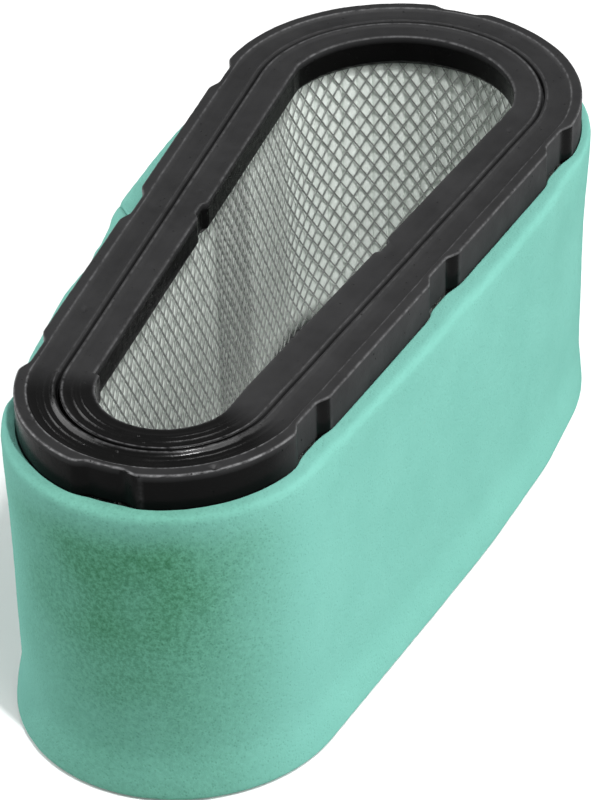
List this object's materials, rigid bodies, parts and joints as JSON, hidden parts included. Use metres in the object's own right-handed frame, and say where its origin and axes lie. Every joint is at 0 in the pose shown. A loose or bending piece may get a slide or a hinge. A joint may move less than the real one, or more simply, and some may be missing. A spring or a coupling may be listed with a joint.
{
  "type": "air filter cartridge",
  "caption": "Tapered oval engine air filter: pleated paper between metal screens, cast into two rubber end seals, inside a pull-off foam pre-filter sleeve.",
  "frame": {"origin": "centre of the overall box, on the plane of the lower seal's face that the cartridge rests on", "axes": "+X along the length towards the wide end, +Y across, +Z along the height from the lower to the upper seal"},
  "size_m": [0.185, 0.0838, 0.0705],
  "materials": {
    "seal_rubber": "moulded, satin with fine pits",
    "filter_paper": "matte pleated paper",
    "clip_metal": "thin folded strip",
    "screen_metal": "expanded metal, dull",
    "foam": "open-cell foam, matte",
    "foam_adhesive": "thin bonded joint"
  },
  "bodies": {
    "cartridge": {"lower_seal": "seal_rubber", "upper_seal": "seal_rubber", "pleated_media": "filter_paper", "media_clip": "clip_metal", "inner_screen": "screen_metal", "outer_screen": "screen_metal"},
    "pre_filter": {"foam_sleeve": "foam", "foam_bond": "foam_adhesive"}
  },
  "joints": [
    {"name": "sleeve_slide", "type": "slide", "parent": "cartridge", "child": "pre_filter", "axis": [0, 0, 1], "range_m": [0, 0.075]}
  ]
}
